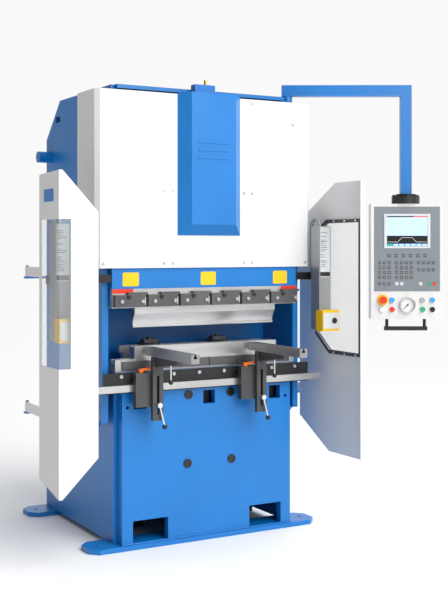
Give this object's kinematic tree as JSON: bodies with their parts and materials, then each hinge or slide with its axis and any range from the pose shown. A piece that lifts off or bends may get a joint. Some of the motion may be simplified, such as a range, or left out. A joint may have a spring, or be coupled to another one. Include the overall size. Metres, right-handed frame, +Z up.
{
  "type": "press brake",
  "caption": "Small hydraulic press brake with covered ram, gooseneck punch and V-die, sliding sheet supports, swing guards and a console on a swing arm.",
  "frame": {"origin": "centre of the four anchor holes, on the floor plane", "axes": "+X to the operator's right, +Y towards the back of the machine, +Z up"},
  "size_m": [2.2676, 1.545, 2.428],
  "materials": {
    "blue_paint": "semi-gloss sprayed paint",
    "white_paint": "fine textured powder coat",
    "ground_steel": "ground",
    "black_steel": "satin black oxide",
    "grey_metal": "satin",
    "black_plastic": "moulded",
    "orange_plastic": "moulded",
    "clear_window": "clear sheet",
    "grey_panel": "printed membrane",
    "red_plastic": "moulded",
    "blue_plastic": "moulded",
    "white_plastic": "moulded",
    "green_plastic": "moulded"
  },
  "bodies": {
    "frame": {"left_side_plate": "blue_paint", "right_side_plate": "blue_paint", "bed_front_plate": "blue_paint", "foot_plates": "blue_paint", "top_plate": "blue_paint", "throat_wall": "blue_paint", "rear_cover": "blue_paint", "wing_plates": "blue_paint", "table_bar": "black_steel", "front_rail": "ground_steel", "socket_screws": "ground_steel", "bed_plugs": "black_plastic", "tool_holder": "ground_steel", "v_die": "ground_steel", "left_cover": "white_paint", "right_cover": "white_paint", "centre_cover": "white_paint", "cover_screws": "ground_steel", "blue_fairing": "blue_paint", "main_cylinder": "ground_steel", "oil_tank": "black_steel"},
    "ram": {"ram_beam": "blue_paint", "clamp_bar": "ground_steel", "punch_clamps": "black_steel", "clamp_screws": "ground_steel", "punch": "ground_steel", "left_light_column": "grey_metal", "right_light_column": "grey_metal"},
    "gauge_beam": {"gauge_beam": "ground_steel"},
    "left_finger": {"left_finger": "black_steel"},
    "right_finger": {"right_finger": "black_steel"},
    "left_guard": {"left_guard": "white_paint", "left_window": "clear_window"},
    "right_guard": {"right_guard": "white_paint", "right_window": "clear_window"},
    "swing_arm": {"swing_arm": "blue_paint"},
    "console": {"console_case": "white_paint", "keypad_panel": "grey_panel", "pressure_gauge": "grey_metal"},
    "left_carriage": {"left_carriage": "black_steel"},
    "left_bracket": {"left_bracket": "black_steel"},
    "left_arm": {"left_arm": "grey_metal"},
    "left_rail_lever": {"left_rail_lever": "orange_plastic"},
    "left_height_lever": {"left_height_lever": "black_plastic"},
    "left_arm_lever": {"left_arm_lever": "black_plastic"},
    "right_carriage": {"right_carriage": "black_steel"},
    "right_bracket": {"right_bracket": "black_steel"},
    "right_arm": {"right_arm": "grey_metal"},
    "right_rail_lever": {"right_rail_lever": "orange_plastic"},
    "right_height_lever": {"right_height_lever": "black_plastic"},
    "right_arm_lever": {"right_arm_lever": "black_plastic"},
    "emergency_stop": {"emergency_stop": "red_plastic"},
    "blue_button_left": {"blue_button_left": "blue_plastic"},
    "white_button": {"white_button": "white_plastic"},
    "red_button": {"red_button": "red_plastic"},
    "blue_button_right": {"blue_button_right": "blue_plastic"},
    "green_button": {"green_button": "green_plastic"},
    "black_button": {"black_button": "black_plastic"},
    "key_switch": {"key_switch": "grey_metal"},
    "gauge_needle": {"gauge_needle": "black_plastic"}
  },
  "joints": [
    {"name": "ram_stroke", "type": "slide", "parent": "frame", "child": "ram", "axis": [0, 0, -1], "range_m": [0, 0.092]},
    {"name": "gauge_depth", "type": "slide", "parent": "frame", "child": "gauge_beam", "axis": [0, 1, 0], "range_m": [0, 0.06]},
    {"name": "left_finger_slide", "type": "slide", "parent": "gauge_beam", "child": "left_finger", "axis": [1, 0, 0], "range_m": [-0.1, 0.1]},
    {"name": "right_finger_slide", "type": "slide", "parent": "gauge_beam", "child": "right_finger", "axis": [1, 0, 0], "range_m": [-0.1, 0.1]},
    {"name": "left_guard_hinge", "type": "hinge", "parent": "frame", "child": "left_guard", "pos_m": [-0.9, -0.245, 1.06], "axis": [0, 0, 1], "range_deg": [-100, 0]},
    {"name": "right_guard_hinge", "type": "hinge", "parent": "frame", "child": "right_guard", "pos_m": [0.72, -0.245, 1.06], "axis": [0, 0, 1], "range_deg": [0, 20]},
    {"name": "arm_swing", "type": "hinge", "parent": "frame", "child": "swing_arm", "pos_m": [0.577, -0.365, 2.34], "axis": [0, 0, 1], "range_deg": [-20, 60]},
    {"name": "console_swivel", "type": "hinge", "parent": "swing_arm", "child": "console", "pos_m": [1.15291, -0.6975, 1.82], "axis": [0, 0, 1], "range_deg": [-60, 60]},
    {"name": "left_carriage_slide", "type": "slide", "parent": "frame", "child": "left_carriage", "axis": [1, 0, 0], "range_m": [-0.15, 0.2]},
    {"name": "left_height_slide", "type": "slide", "parent": "left_carriage", "child": "left_bracket", "axis": [0, 0, 1], "range_m": [-0.04, 0.035]},
    {"name": "left_arm_slide", "type": "slide", "parent": "left_bracket", "child": "left_arm", "axis": [0, -1, 0], "range_m": [0, 0.06]},
    {"name": "left_rail_clamp", "type": "hinge", "parent": "left_carriage", "child": "left_rail_lever", "pos_m": [-0.426, -0.577, 0.905], "axis": [0, 0, 1], "range_deg": [0, 60]},
    {"name": "left_height_clamp", "type": "hinge", "parent": "left_carriage", "child": "left_height_lever", "pos_m": [-0.35, -0.635, 0.735], "axis": [0, 1, 0], "range_deg": [-45, 45]},
    {"name": "left_arm_clamp", "type": "hinge", "parent": "left_bracket", "child": "left_arm_lever", "pos_m": [-0.32, -0.685, 0.95], "axis": [1, 0, 0], "range_deg": [-45, 20]},
    {"name": "right_carriage_slide", "type": "slide", "parent": "frame", "child": "right_carriage", "axis": [1, 0, 0], "range_m": [-0.15, 0.3]},
    {"name": "right_height_slide", "type": "slide", "parent": "right_carriage", "child": "right_bracket", "axis": [0, 0, 1], "range_m": [-0.04, 0.035]},
    {"name": "right_arm_slide", "type": "slide", "parent": "right_bracket", "child": "right_arm", "axis": [0, -1, 0], "range_m": [0, 0.06]},
    {"name": "right_rail_clamp", "type": "hinge", "parent": "right_carriage", "child": "right_rail_lever", "pos_m": [0.18, -0.577, 0.905], "axis": [0, 0, 1], "range_deg": [0, 60]},
    {"name": "right_height_clamp", "type": "hinge", "parent": "right_carriage", "child": "right_height_lever", "pos_m": [0.256, -0.635, 0.735], "axis": [0, 1, 0], "range_deg": [-45, 45]},
    {"name": "right_arm_clamp", "type": "hinge", "parent": "right_bracket", "child": "right_arm_lever", "pos_m": [0.286, -0.685, 0.95], "axis": [1, 0, 0], "range_deg": [-45, 20]},
    {"name": "emergency_push", "type": "slide", "parent": "console", "child": "emergency_stop", "axis": [0.5, 0.866, 0], "range_m": [0, 0.005]},
    {"name": "blue_button_left_push", "type": "slide", "parent": "console", "child": "blue_button_left", "axis": [0.5, 0.866, 0], "range_m": [0, 0.004], "stiffness_N_per_m": 300},
    {"name": "white_button_push", "type": "slide", "parent": "console", "child": "white_button", "axis": [0.5, 0.866, 0], "range_m": [0, 0.004], "stiffness_N_per_m": 300},
    {"name": "red_button_push", "type": "slide", "parent": "console", "child": "red_button", "axis": [0.5, 0.866, 0], "range_m": [0, 0.004], "stiffness_N_per_m": 300},
    {"name": "blue_button_right_push", "type": "slide", "parent": "console", "child": "blue_button_right", "axis": [0.5, 0.866, 0], "range_m": [0, 0.004], "stiffness_N_per_m": 300},
    {"name": "green_button_push", "type": "slide", "parent": "console", "child": "green_button", "axis": [0.5, 0.866, 0], "range_m": [0, 0.004], "stiffness_N_per_m": 300},
    {"name": "black_button_push", "type": "slide", "parent": "console", "child": "black_button", "axis": [0.5, 0.866, 0], "range_m": [0, 0.004], "stiffness_N_per_m": 300},
    {"name": "key_turn", "type": "hinge", "parent": "console", "child": "key_switch", "pos_m": [1.19989, -0.78813, 1.229], "axis": [0.5, 0.866, 0], "range_deg": [0, 90]},
    {"name": "needle_turn", "type": "hinge", "parent": "console", "child": "gauge_needle", "pos_m": [1.12714, -0.74613, 1.202], "axis": [0.5, 0.866, 0], "range_deg": [0, 270]}
  ]
}
